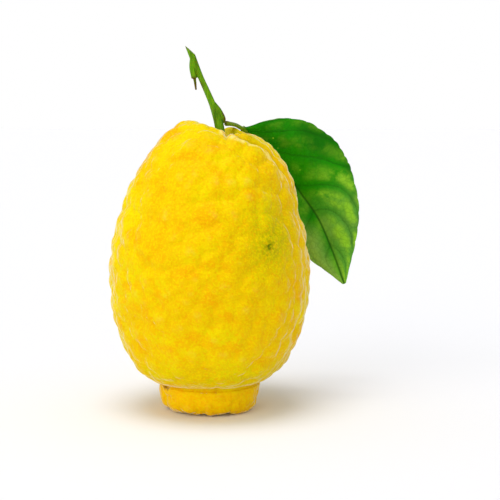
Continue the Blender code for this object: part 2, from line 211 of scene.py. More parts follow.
class SurfacePainter:
    """A material under construction: its tree, its object coordinates and its Principled shader."""

    def __init__(self, name: str, **shader: object) -> None:
        """Starts a material.

        Args:
            name: the material's name.
            shader: values of the Principled shader's inputs, with _ for a space in the input's name.
        """
        self.made = bpy.data.materials.new(name)
        self.made.use_nodes = True
        self.tree = self.made.node_tree
        self.shader = self.tree.nodes["Principled BSDF"]
        for socket, value in shader.items():
            self.shader.inputs[socket.replace("_", " ")].default_value = value
        self.place = add_node(self.tree, "TexCoord", {}).outputs["Object"]

    def node(self, kind: str, inputs: Inputs, **settings: object) -> bpy.types.Node:
        """Adds a node to this material."""
        return add_node(self.tree, kind, inputs, **settings)

    def patches(
        self, size: float, low: float, high: float, detail: float = 2.0, place: Socket | None = None
    ) -> Socket:
        """Makes soft patches of a real size.

        Args:
            size: the patches' usual width in mm.
            low: the noise value where a patch begins.
            high: the noise value where it is full.
            detail: how many finer octaves ride on it.
            place: the coordinates, if they aren't the object's.

        Returns:
            A mask from 0 to 1.
        """
        inputs: Inputs = {"Vector": place or self.place, "Scale": 1 / (size * MM), "Detail": detail}
        cloud = self.node("TexNoise", inputs).outputs["Fac"]
        inputs = {"Value": cloud, "From Min": low, "From Max": high}
        return self.node("MapRange", inputs, **SOFT).outputs["Result"]

    def near(self, centre: Place, inner: float, outer: float) -> Socket:
        """Makes a mask round a point of the surface.

        Args:
            centre: the point in mm.
            inner: the radius up to which the mask is 1.
            outer: the radius where it ends.

        Returns:
            A mask from 0 to 1.
        """
        point = tuple(c * MM for c in centre)
        away = self.node("VectorMath", {0: self.place, 1: point}, operation="DISTANCE").outputs["Value"]
        inputs: Inputs = {"Value": away, "From Min": outer * MM, "From Max": inner * MM}
        return self.node("MapRange", inputs, **SOFT).outputs["Result"]

    def colour(self, ground: str, washes: Sequence[Wash]) -> Socket:
        """Lays washes of colour over a ground colour.

        Args:
            ground: the ground's sRGB hex colour.
            washes: the washes, lowest first.

        Returns:
            The finished colour.
        """
        laid: object = linear(ground)
        for wash in washes:
            share: object = wash.strength
            for mask in wash.masks:
                share = self.node("Math", {0: mask, 1: share}, operation="MULTIPLY").outputs["Value"]
            mix = self.node("Mix", {0: share, 6: laid, 7: linear(wash.colour)}, data_type="RGBA")
            laid = mix.outputs[2]
        return laid

    def bump(self, reliefs: Sequence[tuple[Socket, float]]) -> Socket:
        """Stacks fine reliefs on the surface.

        Args:
            reliefs: each relief's pattern from 0 to 1, with its height in mm.

        Returns:
            The bumped normal.
        """
        normal = None
        for pattern, height in reliefs:
            inputs: Inputs = {"Height": pattern, "Distance": height * MM, "Strength": 1.0}
            if normal is not None:
                inputs["Normal"] = normal
            normal = self.node("Bump", inputs).outputs["Normal"]
        return normal

    def bloom(self, normal: Socket, begin: float, full: float, bare: Socket) -> None:
        """Lets the sheen show only where the bumped surface turns away from the eye.

        Args:
            normal: the bumped normal.
            begin: how far it has turned away where the sheen begins, from 0 to 1.
            full: how far it has turned away where the sheen is full.
            bare: a mask of the places that have no sheen.
        """
        away = self.node("LayerWeight", {"Blend": 0.5, "Normal": normal}).outputs["Facing"]
        inputs: Inputs = {"Value": away, "From Min": begin, "From Max": full}
        turned = self.node("MapRange", inputs, **SOFT).outputs["Result"]
        covered = self.node("Math", {0: 1.0, 1: bare}, operation="SUBTRACT").outputs["Value"]
        weight = self.node("Math", {0: turned, 1: covered}, operation="MULTIPLY").outputs["Value"]
        self.tree.links.new(weight, self.shader.inputs["Sheen Weight"])

    def finish(
        self, colour: Socket, dullness: Socket, roughness: Span, normal: Socket
    ) -> bpy.types.Material:
        """Links colour, roughness and normal to the shader.

        Args:
            colour: the finished colour.
            dullness: a mask from 0 where the surface is smoothest to 1 where it is roughest.
            roughness: the shader's roughness at 0 and at 1 of that mask.
            normal: the bumped normal.

        Returns:
            The material.
        """
        rough = self.node("MapRange", {"Value": dullness, "To Min": roughness[0], "To Max": roughness[1]})
        feeds = {"Base Color": colour, "Roughness": rough.outputs["Result"], "Normal": normal}
        for socket, source in feeds.items():
            self.tree.links.new(source, self.shader.inputs[socket])
        return self.made


# Finishes


@dataclass(frozen=True)
class Stain:
    """A brown place on a stem, or a pit of the rind darkened with painted shade: full brown up to inner, and
    gone at outer.
    """

    place: Place
    inner: float
    outer: float


@dataclass(frozen=True)
class WaxyRind:
    """Citron rind: a thick yellow peel under its own wax, full of oil glands.

    The wax makes it satin, never shiny, and its bloom makes the rind pale where it turns away. The
    glands give a fine grain of orange dots in lemon yellow, and wide patches drift from lemon to orange.
    The glands are about 1 mm apart in life, and are drawn twice as coarse so that they show.
    """

    ground: str = "#E8BF00"
    lemon: str = "#E8CF00"
    bright: str = "#F0DA00"
    orange: str = "#ECA600"
    # the nipple's deeper orange: partly the rind's own tone, partly painted warm bounce light from the floor
    deep_orange: str = "#F8C000"
    green: str = "#B6B400"
    # the darker olive laid as painted shade on the furrows' floors
    furrow_shade: str = "#A8A400"
    # the pale of the painted highlight on wart tops and on the furrows' lips
    pale: str = "#FAEC98"
    scar: str = "#5F6E00"
    # the dark brown laid as painted shade in the small hollows by the groove
    dark_brown: str = "#8A5A1C"
    roughness: Span = (0.46, 0.58)
    bloom: Span = (0.55, 0.85)
    gland_spacing: float = 2.0
    grain_size: float = 1.0
    fleck_spacing: float = 1.7
    scar_place: Place = (29.8, -39.5, 87.7)
    # small hollows by the groove, darkened with painted shade
    pit_shades: tuple[Stain, ...] = (
        Stain((-22.0, -11.8, 13.8), 0.6, 2.6),
        Stain((-20.2, -14.4, 12.9), 0.2, 1.7),
        Stain((3.8, -24.8, 14.3), 0.3, 1.6),
    )

    def material(self) -> bpy.types.Material:
        """Builds the rind's material."""
        paint = SurfacePainter(
            "waxy_citron_rind",
            Specular_IOR_Level=0.03,
            Subsurface_Weight=0.1,
            Subsurface_Radius=(1.0, 0.55, 0.02),
            Subsurface_Scale=1.5 * MM,
            Sheen_Roughness=0.3,
            Sheen_Tint=linear("#FFFAE0"),
        )
        painted_highlight, green, furrow, warm = (
            paint.node("Attribute", {}, attribute_name=name).outputs["Fac"] for name in FruitSkin.masks
        )
        glands = paint.node(
            "TexVoronoi",
            {"Vector": paint.place, "Scale": 1 / (self.gland_spacing * MM), "Randomness": 0.85},
            feature="SMOOTH_F1",
        ).outputs["Distance"]
        flecks = paint.node(
            "TexVoronoi", {"Vector": paint.place, "Scale": 1 / (self.fleck_spacing * MM), "Randomness": 1.0}
        ).outputs["Distance"]
        gland_core, fleck = (
            paint.node(
                "MapRange", {"Value": cells, "From Min": begin, "From Max": full}, **SOFT
            ).outputs["Result"]
            for cells, begin, full in ((glands, 0.42, 0.12), (flecks, 0.24, 0.08))
        )
        bright_grain = paint.patches(self.grain_size, 0.48, 0.64, detail=1.0)
        dark_grain = paint.patches(self.grain_size * 1.3, 0.5, 0.66, detail=1.0)
        washes = [
            Wash(self.lemon, 1.0, (paint.patches(26.0, 0.42, 0.62, detail=3.0),)),
            Wash(self.orange, 0.7, (paint.patches(12.0, 0.5, 0.7, detail=4.0),)),
            # the nipple's deeper orange: partly the rind's own tone, partly painted warm bounce light from
            # the floor
            Wash(self.deep_orange, 0.75, (warm,)),
            Wash(self.green, 0.9, (green, paint.patches(6.0, 0.15, 0.5, detail=4.0))),
            Wash(self.orange, 0.45, (gland_core, paint.patches(7.0, 0.3, 0.65))),
            Wash(self.orange, 0.35, (dark_grain,)),
            Wash(self.bright, 0.4, (bright_grain,)),
            Wash(self.bright, 0.4, (fleck, paint.patches(9.0, 0.42, 0.58))),
            # painted highlight: wart tops and the furrows' lips are laid pale
            Wash(self.pale, 0.6, (painted_highlight, paint.patches(2.4, 0.3, 0.6))),
            # painted shade: the furrows' floors are darkened to olive
            Wash(self.furrow_shade, 0.5, (furrow,)),
            Wash(self.scar, 0.45, (paint.near(self.scar_place, 1.0, 9.0), paint.patches(1.5, 0.5, 0.65))),
            Wash(self.scar, 1.0, (paint.near(self.scar_place, 0.6, 3.6), paint.patches(1.6, 0.3, 0.6))),
            Wash(self.scar, 1.0, (paint.near(self.scar_place, 0.5, 1.2),)),
            # painted shade: the small hollows by the groove are darkened brown
            *(Wash(self.dark_brown, 0.8, (paint.near(pit.place, pit.inner, pit.outer),)) for pit in self.pit_shades),
        ]
        normal = paint.bump(
            [
                (paint.patches(3.8, 0.25, 0.75, detail=1.0), 0.35),
                (glands, 0.22),
                (paint.patches(self.grain_size, 0.25, 0.75, detail=1.0), 0.06),
            ]
        )
        paint.bloom(normal, *self.bloom, bare=green)
        colour = paint.colour(self.ground, washes)
        return paint.finish(colour, paint.patches(5.0, 0.3, 0.7), self.roughness, normal)


@dataclass(frozen=True)
class GreenBark:
    """Young citrus twig: living green bark, finely ribbed, with cork where a leaf has been shed.

    The bark is satin and streaked lengthwise, and its scars and torn ends are dry and brown.
    """

    name: str = "green_twig_bark"
    ground: str = "#528C04"
    dark: str = "#345E04"
    light: str = "#74AE0C"
    brown: str = "#4E3A12"
    roughness: Span = (0.42, 0.85)
    streak_spacing: float = 0.7
    streak_stretch: float = 0.12
    lean: float = -18.0

    def material(self) -> bpy.types.Material:
        """Builds the bark's material."""
        paint = SurfacePainter(self.name, Specular_IOR_Level=0.08, Subsurface_Weight=0.05)
        brown, shade = (
            paint.node("Attribute", {}, attribute_name=name).outputs["Fac"] for name in STEM_MASKS
        )
        turned = (0.0, math.radians(self.lean), 0.0)
        stretched = (1.0, 1.0, self.streak_stretch)
        along = paint.node(
            "Mapping", {"Vector": paint.place, "Rotation": turned, "Scale": stretched}
        ).outputs["Vector"]
        streaks = paint.patches(self.streak_spacing, 0.35, 0.65, place=along)
        washes = [
            Wash(self.light, 0.55, (streaks,)),
            Wash(self.dark, 0.7, (paint.patches(2.4, 0.5, 0.75, place=along),)),
            # painted shade on the bark's side turned away from the light
            Wash(self.dark, 0.85, (shade,)),
            Wash(self.brown, 0.9, (brown,)),
        ]
        normal = paint.bump([(streaks, 0.12), (paint.patches(0.35, 0.3, 0.7), 0.04)])
        return paint.finish(paint.colour(self.ground, washes), brown, self.roughness, normal)


@dataclass(frozen=True)
class CutWood:
    """A fresh slanting cut through a green twig: pale fibrous wood round a small pith, dried at the rim."""

    wood: str = "#7F9440"
    pith: str = "#C9C9A0"
    rim: str = "#4B6414"
    centre: Place = (-9.4, 2.5, 180.8)
    roughness: Span = (0.7, 0.9)

    def material(self) -> bpy.types.Material:
        """Builds the cut face's material."""
        paint = SurfacePainter("cut_twig_wood", Specular_IOR_Level=0.2)
        fibres = paint.patches(0.3, 0.35, 0.65)
        washes = [
            Wash(self.rim, 0.4, (fibres,)),
            Wash(self.pith, 1.0, (paint.near(self.centre, 0.25, 0.55),)),
        ]
        colour = paint.colour(self.wood, washes)
        return paint.finish(colour, fibres, self.roughness, paint.bump([(fibres, 0.06)]))


@dataclass(frozen=True)
class CorkyCalyx:
    """Dry calyx of a picked fruit: tough green sepals with a corky brown edge, dull all over."""

    ground: str = "#7C8B2E"
    light: str = "#9AA548"
    dark_brown: str = "#6B5320"
    roughness: Span = (0.6, 0.8)

    def material(self) -> bpy.types.Material:
        """Builds the calyx's material."""
        paint = SurfacePainter("corky_calyx", Specular_IOR_Level=0.25)
        rim = paint.node("Attribute", {}, attribute_name="rim").outputs["Fac"]
        grain = paint.patches(0.6, 0.35, 0.65, detail=3.0)
        washes = [
            Wash(self.light, 0.6, (grain,)),
            Wash(self.dark_brown, 0.85, (rim,)),
        ]
        colour = paint.colour(self.ground, washes)
        return paint.finish(colour, grain, self.roughness, paint.bump([(grain, 0.08)]))


@dataclass(frozen=True)
class LeafFace:
    """One face of a citrus leaf: the upper is dark and waxed, the underside is pale and dull.

    Side veins arch from the midrib, and between them runs a net of fine veins a few mm apart. The
    flesh between two side veins is laid lighter as a painted highlight on its bulge, painted sheen
    lightens it most towards the margin and along the lower half, and on the upper face the sunken side
    veins and midrib are darkened with painted shade.
    """

    name: str
    ground: str
    light: str
    bright: str
    deep: str
    vein: str
    roughness: Span
    specular: float
    net_spacing: float = 2.6
    fleck_spacing: float = 7.0

    def material(self) -> bpy.types.Material:
        """Builds the face's material from the blade's attributes."""
        paint = SurfacePainter(self.name, Specular_IOR_Level=self.specular, Subsurface_Weight=0.0)
        along, across, turns, painted_sheen, streak = (
            paint.node("Attribute", {}, attribute_name=name).outputs["Fac"] for name in LeafBlade.masks
        )
        wave = paint.node("Math", {0: turns, 1: 0.5}, operation="PINGPONG").outputs["Value"]
        off = paint.node("Math", {0: across}, operation="ABSOLUTE").outputs["Value"]
        flat = paint.node("CombineXYZ", {0: along, 1: across}).outputs["Vector"]
        net = paint.node(
            "TexVoronoi",
            {"Vector": flat, "Scale": 1 / self.net_spacing, "Randomness": 0.9},
            feature="DISTANCE_TO_EDGE",
        ).outputs["Distance"]
        flecks = paint.node(
            "TexVoronoi", {"Vector": flat, "Scale": 1 / self.fleck_spacing, "Randomness": 1.0}
        ).outputs["Distance"]
        lateral, between, midrib, midrib_edge, fine_vein, fleck, relief = (
            paint.node(
                "MapRange", {"Value": pattern, "From Min": begin, "From Max": full}, **SOFT
            ).outputs["Result"]
            for pattern, begin, full in (
                (wave, 0.06, 0.01),
                (wave, 0.06, 0.4),
                (off, 0.8, 0.2),
                (off, 2.6, 1.2),
                (net, 0.1, 0.02),
                (flecks, 0.09, 0.05),
                (net, 0.0, 0.3),
            )
        )
        washes = [
            Wash(self.deep, 0.7, (paint.patches(24.0, 0.42, 0.62, detail=3.0),)),
            # painted highlight on the bulges between the side veins
            Wash(self.bright, 0.26, (between, paint.patches(6.0, 0.36, 0.7, detail=3.0))),
            # painted sheen: lighter towards the margin, and on the bulges between the side veins as painted
            # highlight
            Wash(self.light, 0.8, (painted_sheen,)),
            Wash(self.light, 0.7, (painted_sheen, between, paint.patches(9.0, 0.4, 0.6, detail=4.0))),
            # the yellow-green streaks, laid on the bulges where the painted highlight falls
            Wash(self.bright, 1.0, (streak, between, paint.patches(6.0, 0.3, 0.6, detail=4.0))),
            # painted sheen along the midrib's edges
            Wash(self.bright, 0.35, (midrib_edge, painted_sheen)),
            Wash(self.deep, 0.2, (fine_vein,)),
            # on the upper face, painted shade in the sunken side veins; on the underside, the veins' own
            # pale colour
            Wash(self.vein, 0.3, (lateral,)),
            Wash(self.bright, 0.7, (fleck, paint.patches(20.0, 0.5, 0.6))),
            # on the upper face, painted shade in the sunken midrib; on the underside, its own pale colour
            Wash(self.vein, 0.75, (midrib,)),
        ]
        normal = paint.bump([(relief, 0.09), (paint.patches(0.4, 0.3, 0.7), 0.01)])
        colour = paint.colour(self.ground, washes)
        return paint.finish(colour, paint.patches(3.0, 0.3, 0.7), self.roughness, normal)


# Sub-assemblies


class SubAssembly:
    """A grown piece of the citron that stands for one node of the frame."""

    node: ClassVar[str]
    slot: ClassVar[Slot]

    def build(self) -> list[Piece]:
        """Builds the pieces' meshes."""
        raise NotImplementedError

    def dress(self, pieces: list[Piece]) -> None:
        """Gives the pieces their finishes."""
        raise NotImplementedError

    def make(self) -> None:
        """Builds and dresses the pieces, and sets them in the frame in the node's place."""
        pieces = self.build()
        self.dress(pieces)
        for piece in pieces:
            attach(piece, BODY)
            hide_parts(self.node)
            LOG.info("%s: %d faces for node %s", piece.name, len(piece.data.polygons), self.node)


@dataclass(frozen=True)
class Station:
    """A ring of the fruit's outline: radius, height, way sideways, and rows to the next station."""

    radius: float
    height: float
    shift: float
    rings: int


@dataclass(frozen=True)
class Lobe:
    """A swelling of the crown, seen from above."""

    x: float
    y: float
    lift: float
    spread: float


@dataclass(frozen=True)
class Furrow:
    """A furrow that runs out of the stem cavity.

    path holds the way from the stalk and the azimuth there. lip is how high the skin rises along the
    side of the smaller azimuth, and end is the way after which the furrow is gone.
    """

    path: tuple[tuple[float, float], ...]
    depth: float
    width: float
    lip: float
    end: float


@dataclass(frozen=True)
class Hollow:
    """A small hollow of the skin, or a swelling where the depth is below 0.

    across and along are how far it reaches round the fruit and up it.
    """

    azimuth: float
    height: float
    depth: float
    across: float
    along: float


@dataclass(frozen=True)
class GreenPlace:
    """A place that has stayed green: how far the green reaches from it, and how strong it is."""

    place: Place
    spread: float
    share: float


FRUIT_OUTLINE = (
    Station(0.0, 0.0, 0.0, 2),
    Station(13.0, 0.0, 0.0, 2),
    Station(20.0, 0.4, 0.0, 2),
    Station(23.3, 2.5, 0.0, 2),
    Station(25.1, 6.7, 0.0, 2),
    Station(25.9, 11.4, 0.0, 1),
    Station(26.0, 13.3, 0.0, 1),
    Station(24.9, 14.3, 0.0, 1),
    Station(27.4, 15.1, 0.0, 2),
    Station(33.8, 18.9, 0.0, 3),
    Station(40.3, 26.4, 0.0, 3),
    Station(45.7, 39.0, 0.0, 6),
    Station(49.4, 54.0, 0.0, 6),
    Station(50.4, 68.0, 0.2, 6),
    Station(49.0, 84.0, 0.2, 6),
    Station(44.8, 101.0, 0.4, 6),
    Station(40.3, 115.6, 1.2, 4),
    Station(34.4, 126.8, 2.2, 3),
    Station(27.5, 134.4, 2.4, 3),
    Station(18.5, 138.4, 3.6, 2),
    Station(12.4, 138.9, 5.8, 1),
    Station(9.4, 137.3, 6.6, 1),
    Station(7.6, 135.0, 6.6, 1),
    Station(6.8, 134.2, 6.6, 2),
    Station(0.0, 134.2, 6.6, 0),
)
CROWN_LOBES = (
    Lobe(-13.0, -2.0, 6.4, 8.0),
    Lobe(-3.0, -12.5, 4.4, 7.5),
    Lobe(16.0, -11.5, 2.4, 5.5),
    Lobe(17.0, 11.0, 0.8, 6.0),
    Lobe(8.5, 14.0, 2.4, 5.5),
    Lobe(-10.0, 13.0, 3.0, 7.0),
)
FRONT_FURROW_PATH = ((12.0, -60.0), (22.0, -52.0), (29.0, -38.0), (36.0, -25.0), (56.0, -18.0), (96.0, -8.0))
CROWN_FURROWS = (
    Furrow(((8.0, -72.0), (40.0, -75.0)), 2.2, 1.4, 0.2, 38.0),
    Furrow(FRONT_FURROW_PATH, 1.8, 2.1, 0.5, 104.0),
    Furrow(((8.0, 98.0), (42.0, 71.0), (90.0, 76.0)), 2.2, 3.0, 0.4, 90.0),
    Furrow(((8.0, 118.0), (80.0, 128.0)), 2.0, 2.8, 0.3, 76.0),
    Furrow(((8.0, 168.0), (90.0, 160.0)), 1.8, 3.0, 0.4, 80.0),
)
SKIN_HOLLOWS = (
    Hollow(-2.0, 113.5, -1.5, 8.0, 5.5),
    Hollow(-46.6, 113.6, 1.3, 2.9, 1.3),
    Hollow(-3.0, 119.5, 1.0, 7.0, 2.4),
    Hollow(-3.0, 100.5, 1.4, 8.0, 3.2),
    Hollow(178.0, 124.0, 1.2, 5.0, 2.5),
    Hollow(-52.0, 84.0, 0.8, 2.4, 2.4),
    Hollow(-149.0, 13.6, 1.2, 2.4, 1.3),
    Hollow(-81.0, 14.5, 0.8, 1.4, 1.2),
    Hollow(180.0, 2.0, -0.6, 9.0, 3.0),
    Hollow(-96.0, 0.8, 1.0, 1.4, 3.0),
    Hollow(60.0, 14.6, 1.4, 2.4, 2.4),
    Hollow(110.0, 64.0, 1.0, 4.0, 4.0),
    Hollow(-160.0, 90.0, 0.8, 4.2, 4.2),
)
CAVITY_CENTRE = Vector((6.6, 1.0))
CAVITY_FLOOR = 134.2
CALYX_THICKNESS = 1.3
CLEARANCE = 0.3


@dataclass
class FruitSkin(SubAssembly):
    """The fruit: a ball of rings on the part's outline, raised and furrowed by its relief.

    Beside the part's lumps it has warts of half their size, and it carries the masks that its finish
    reads: the pale painted highlight on raised spots and lips, green in the places that are still green
    and above the groove, furrow on the floor of the furrows, where painted shade is laid, and warm on the
    nipple, whose deeper orange is partly the rind's own tone and partly painted warm bounce light.
    """

    node: ClassVar[str] = "fruit"
    slot: ClassVar[Slot] = Slot.RIND
    masks: ClassVar[tuple[str, ...]] = ("painted_highlight", "green", "furrow", "warm")
    finish: WaxyRind = field(default_factory=WaxyRind)
    segments: int = 340
    ring_factor: int = 4
    foot_radius: float = 13.0
    foot_edge: float = 6.0
    cavity_radius: float = 7.5
    cavity_rim_radius: float = 13.0
    groove_height: float = 14.3
    groove_spread: float = 3.0
    groove_calm: float = 0.7
    lobes_begin: float = 112.0
    lobes_full: float = 134.0
    furrow_full_share: float = 0.3
    furrow_begin: float = 11.0
    lip_place: float = 2.2
    swell_size: float = 34.0
    swell_height: float = 0.9
    lump_size: float = 8.6
    lump_height: float = 2.5
    lump_level: float = 0.2
    wart_size: float = 4.3
    wart_height: float = 0.5
    rib_count: int = 7
    rib_height: float = 0.35
    rib_phase: float = 34.0
    ribs_begin: float = 20.0
    ribs_full: float = 60.0
    pucker_count: int = 9
    pucker_depth: float = 0.35
    pucker_wobble: float = 20.0
    puckers_full: float = 4.0
    puckers_end: float = 11.0
    green_places: tuple[GreenPlace, ...] = (
        GreenPlace((29.8, -39.5, 87.7), 15.0, 0.75),
        GreenPlace((37.0, -31.0, 98.0), 14.0, 0.5),
        GreenPlace((10.5, 9.0, 140.0), 9.5, 1.0),
        GreenPlace((20.0, -12.0, 139.0), 7.0, 0.7),
    )
    # where wart tops and lips take the pale painted highlight, and the warts' share of it
    wart_highlight: Span = (0.2, 0.6)
    wart_highlight_share: float = 0.1
    lip_highlight: Span = (0.15, 0.45)
    # how deep a furrow is where its painted shade begins and where it is full
    shaded_furrow_floor: Span = (0.9, 2.0)
    # where the nipple's orange, partly painted warm bounce light, fades out about the groove
    warm_edge: Span = (-3.0, 1.0)
    groove_green: float = 0.35
    groove_green_height: float = 22.0
    groove_green_spread: float = 7.0
    crown_top: float = max(station.height for station in FRUIT_OUTLINE)
    furrow_lines: list[SmoothCurve] = field(
        default_factory=lambda: [SmoothCurve(*zip(*furrow.path)) for furrow in CROWN_FURROWS]
    )

    def crown_lift(self, x: float, y: float, height: float) -> float:
        """Tells how far the crown's lobes raise the skin.

        Args:
            x: the place to the right.
            y: the place to the back.
            height: the outline's height there.

        Returns:
            The lift in mm.
        """
        if height < self.lobes_begin:
            return 0.0
        lift = sum(
            lobe.lift * math.exp(-((x - lobe.x) ** 2 + (y - lobe.y) ** 2) / (2 * lobe.spread**2))
            for lobe in CROWN_LOBES
        )
        from_stalk = math.dist((x, y), CAVITY_CENTRE)
        lift *= smooth_step(self.lobes_begin, self.lobes_full, height)
        return lift * smooth_step(self.cavity_radius, self.cavity_rim_radius, from_stalk)

    def furrow_cut(self, azimuth: float, radius: float, height: float) -> tuple[float, float]:
        """Tells how the crown's furrows shape the skin here.

        Args:
            azimuth: the turn round the fruit.
            radius: the ring's radius.
            height: the height of the place.

        Returns:
            The depth of the furrows and the height of their lips.
        """
        way = radius + self.crown_top - height
        groove = lip = 0.0
        for furrow, line in zip(CROWN_FURROWS, self.furrow_lines):
            fade = 1.0 - smooth_step(self.furrow_full_share * furrow.end, furrow.end, way)
            if fade > 0.0:
                slant = math.radians(line(way + 1.0) - line(way)) * radius
                aside = math.radians(degrees_apart(azimuth, line(way))) * radius / math.hypot(1.0, slant)
                aside /= furrow.width
                groove += furrow.depth * math.exp(-(aside**2)) * fade
                lip += furrow.lip * math.exp(-((aside + self.lip_place) ** 2)) * fade
        begin = smooth_step(self.cavity_radius, self.furrow_begin, radius)
        return groove * begin, lip * begin

    def hollow_depth(self, azimuth: float, radius: float, height: float) -> float:
        """Tells how deep the small hollows of the skin are here.

        Args:
            azimuth: the turn round the fruit.
            radius: the ring's radius.
            height: the height of the place.

        Returns:
            The depth in mm.
        """
        depth = 0.0
        for hollow in SKIN_HOLLOWS:
            aside = math.radians(degrees_apart(azimuth, hollow.azimuth)) * radius / hollow.across
            upward = (height - hollow.height) / hollow.along
            depth += hollow.depth * math.exp(-(aside**2 + upward**2) / 2)
        return depth

    def relief(self, place: Vector, azimuth: float, radius: float) -> tuple[float, float, float]:
        """Tells how far the skin stands out from the turned and lobed outline.

        Args:
            place: the place on the outline.
            azimuth: the turn round the fruit.
            radius: the ring's radius.

        Returns:
            The relief in mm, and from 0 to 1 how much pale painted highlight the place takes and how much
            painted shade it takes as a furrow's floor.
        """
        height = place.z
        turn = math.radians(azimuth)
        swell = self.swell_height * noise.noise(place / self.swell_size)
        to_lump = noise.voronoi(place / self.lump_size)[0][0]
        to_wart = noise.voronoi(place / self.wart_size)[0][0]
        calm = self.groove_calm * math.exp(-(((height - self.groove_height) / self.groove_spread) ** 2))
        lump = self.lump_height * (self.lump_level - to_lump**2) * (1.0 - calm)
        wart = self.wart_height * (self.lump_level - to_wart**2) * (1.0 - calm)
        rib = self.rib_height * math.cos(self.rib_count * turn + math.radians(self.rib_phase))
        rib *= smooth_step(self.ribs_begin, self.ribs_full, height)
        crease_turn = 0.5 * self.pucker_count * turn + math.radians(self.pucker_wobble) * math.sin(3 * turn)
        pucker = self.pucker_depth * (1.0 - abs(math.cos(crease_turn))) ** 2
        pucker *= 1.0 - smooth_step(self.puckers_full, self.puckers_end, height)
        groove, lip = self.furrow_cut(azimuth, radius, height)
        standing = swell + lump + wart + rib - pucker - groove + lip
        standing -= self.hollow_depth(azimuth, radius, height)
        if height < self.groove_height:
            share = smooth_step(self.foot_radius, self.foot_radius + self.foot_edge, radius)
        else:
            share = smooth_step(self.cavity_radius, self.cavity_rim_radius, radius)
        # the pale painted highlight: a little on wart tops, full on the furrows' lips
        painted_highlight = smooth_step(*self.wart_highlight, lump + wart) * self.wart_highlight_share
        painted_highlight += smooth_step(*self.lip_highlight, lip)
        return standing * share, min(1.0, painted_highlight), smooth_step(*self.shaded_furrow_floor, groove)

    def greenness(self, place: Vector) -> float:
        """Tells from 0 to 1 how green the rind is at a place."""
        above_groove = (place.z - self.groove_green_height) / self.groove_green_spread
        green = self.groove_green * math.exp(-(above_groove**2))
        for spot in self.green_places:
            green += spot.share * math.exp(-(((place - Vector(spot.place)).length / spot.spread) ** 2))
        return min(1.0, green)

    def build(self) -> list[Piece]:
        """Builds the skin and writes its masks.

        Returns:
            The skin.
        """
        rings = smooth_path(
            [(s.radius, s.height, s.shift) for s in FRUIT_OUTLINE],
            [s.rings * self.ring_factor for s in FRUIT_OUTLINE],
        )
        last = len(rings) - 1
        bm = bmesh.new()
        painted_highlight_mask, green_mask, furrow_shade_mask, warm_mask = (bm.verts.layers.float.new(m) for m in self.masks)
        bmesh.ops.create_uvsphere(bm, u_segments=self.segments, v_segments=last, radius=1.0)
        polar = []
        for vert in bm.verts:
            latitude = math.asin(max(-1.0, min(1.0, vert.co.z)))
            radius, height, shift = rings[round((latitude / math.pi + 0.5) * last)]
            turn = math.atan2(vert.co.y, vert.co.x)
            polar.append((math.degrees(turn), radius))
            centre = CAVITY_CENTRE * (shift / CAVITY_CENTRE.x)
            x = centre.x + radius * math.cos(turn)
            y = centre.y + radius * math.sin(turn)
            vert.co = Vector((x, y, height + self.crown_lift(x, y, height)))
        bm.normal_update()
        for vert, (azimuth, radius) in zip(bm.verts, polar):
            standing, painted_highlight, furrow = self.relief(vert.co, azimuth, radius)
            vert.co += vert.normal * standing
            vert.co.z = max(vert.co.z, 0.0)
            green = self.greenness(vert.co)
            vert[painted_highlight_mask] = painted_highlight * (1.0 - green)
            vert[green_mask] = green
            # the furrow's floor, which takes painted shade
            vert[furrow_shade_mask] = furrow
            # the nipple below the groove, partly painted warm bounce light
            vert[warm_mask] = 1.0 - smooth_step(*self.warm_edge, vert.co.z - self.groove_height)
        return [as_object("fruit_skin", bm)]

    def dress(self, pieces: list[Piece]) -> None:
        """Gives the skin its rind."""
        pieces[0].data.materials.append(self.finish.material())


@dataclass
class CalyxButton(SubAssembly):
    """The five-lobed calyx on the floor of the stem cavity, with a raised corky rim."""

    node: ClassVar[str] = "calyx"
    slot: ClassVar[Slot] = Slot.CALYX
    finish: CorkyCalyx = field(default_factory=CorkyCalyx)
    radius: float = 5.2
    lobes: int = 5
    lobe_reach: float = 0.9
    flatness: float = 1.6
    segments: int = 160
    rings: int = 40
    crease_depth: float = 0.25
    dish_depth: float = 0.3
    dish_place: float = 0.72
    dish_width: float = 0.16
    rim_edge: Span = (0.78, 0.98)

    def build(self) -> list[Piece]:
        """Builds the button.

        Returns:
            The button alone.
        """
        bm = bmesh.new()
        rim_mask = bm.verts.layers.float.new("rim")
        bmesh.ops.create_uvsphere(bm, u_segments=self.segments, v_segments=self.rings, radius=1.0)
        for vert in bm.verts:
            turn = math.atan2(vert.co.y, vert.co.x)
            outward = math.hypot(vert.co.x, vert.co.y)
            cusp = abs(math.cos(0.5 * self.lobes * turn))
            reach = outward * (self.radius + self.lobe_reach * (cusp - 0.5) * outward)
            level = max(-1.0, min(1.0, self.flatness * vert.co.z))
            x = CAVITY_CENTRE.x + reach * math.cos(turn)
            y = CAVITY_CENTRE.y + reach * math.sin(turn)
            height = CAVITY_FLOOR + CLEARANCE + 0.5 * CALYX_THICKNESS * (1.0 + level)
            if level > 0.0:
                crease = self.crease_depth * (1.0 - cusp) ** 4 * outward
                dish = self.dish_depth * math.exp(-(((outward - self.dish_place) / self.dish_width) ** 2))
                height -= level * (crease + dish)
            vert[rim_mask] = smooth_step(*self.rim_edge, outward)
            vert.co = Vector((x, y, height))
        return [as_object("calyx_button", bm)]

    def dress(self, pieces: list[Piece]) -> None:
        """Gives the button its corky finish."""
        pieces[0].data.materials.append(self.finish.material())


@dataclass(frozen=True)
class StemPoint:
    """A point of a twig's line with the twig's radius there."""

    x: float
    y: float
    z: float
    radius: float


